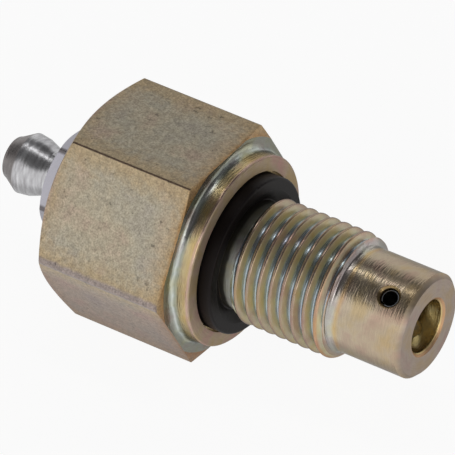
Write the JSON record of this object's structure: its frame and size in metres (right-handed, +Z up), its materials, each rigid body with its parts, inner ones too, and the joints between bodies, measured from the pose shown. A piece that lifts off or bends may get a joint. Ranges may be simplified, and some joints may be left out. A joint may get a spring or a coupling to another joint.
{
  "type": "non-return valve",
  "caption": "Screw-in non-return valve for grease: hex body with threaded, bored nose, face seal, spring-loaded check ball, cross pin and grease nipple at the back.",
  "frame": {"origin": "centre of the sealing face of the collar, on the valve's axis", "axes": "+X along the valve's axis towards the threaded nose, +Z up with one hex flat facing down, +Y to the left when looking along +X"},
  "size_m": [0.0497, 0.0254, 0.022],
  "materials": {
    "chromated_steel": "yellow chromated zinc, satin, as turned",
    "bright_zinc_steel": "bright zinc, satin, as turned",
    "seal_rubber": "moulded, matt",
    "spring_steel": "drawn and rolled, bright",
    "ball_steel": "ground and polished"
  },
  "bodies": {
    "housing": {"valve_body": "chromated_steel", "face_seal": "seal_rubber", "retaining_pin": "spring_steel", "nipple_body": "bright_zinc_steel", "check_spring": "spring_steel", "nipple_spring": "spring_steel"},
    "check_ball": {"check_ball": "ball_steel"},
    "nipple_ball": {"nipple_ball": "ball_steel"}
  },
  "joints": [
    {"name": "check_ball_slide", "type": "slide", "parent": "housing", "child": "check_ball", "axis": [1, 0, 0], "range_m": [0, 0.0015], "stiffness_N_per_m": 300, "springref_m": -0.001, "deforming": ["check_spring"]},
    {"name": "nipple_ball_slide", "type": "slide", "parent": "housing", "child": "nipple_ball", "axis": [1, 0, 0], "range_m": [0, 0.0012], "stiffness_N_per_m": 200, "springref_m": -0.001, "deforming": ["nipple_spring"]}
  ]
}
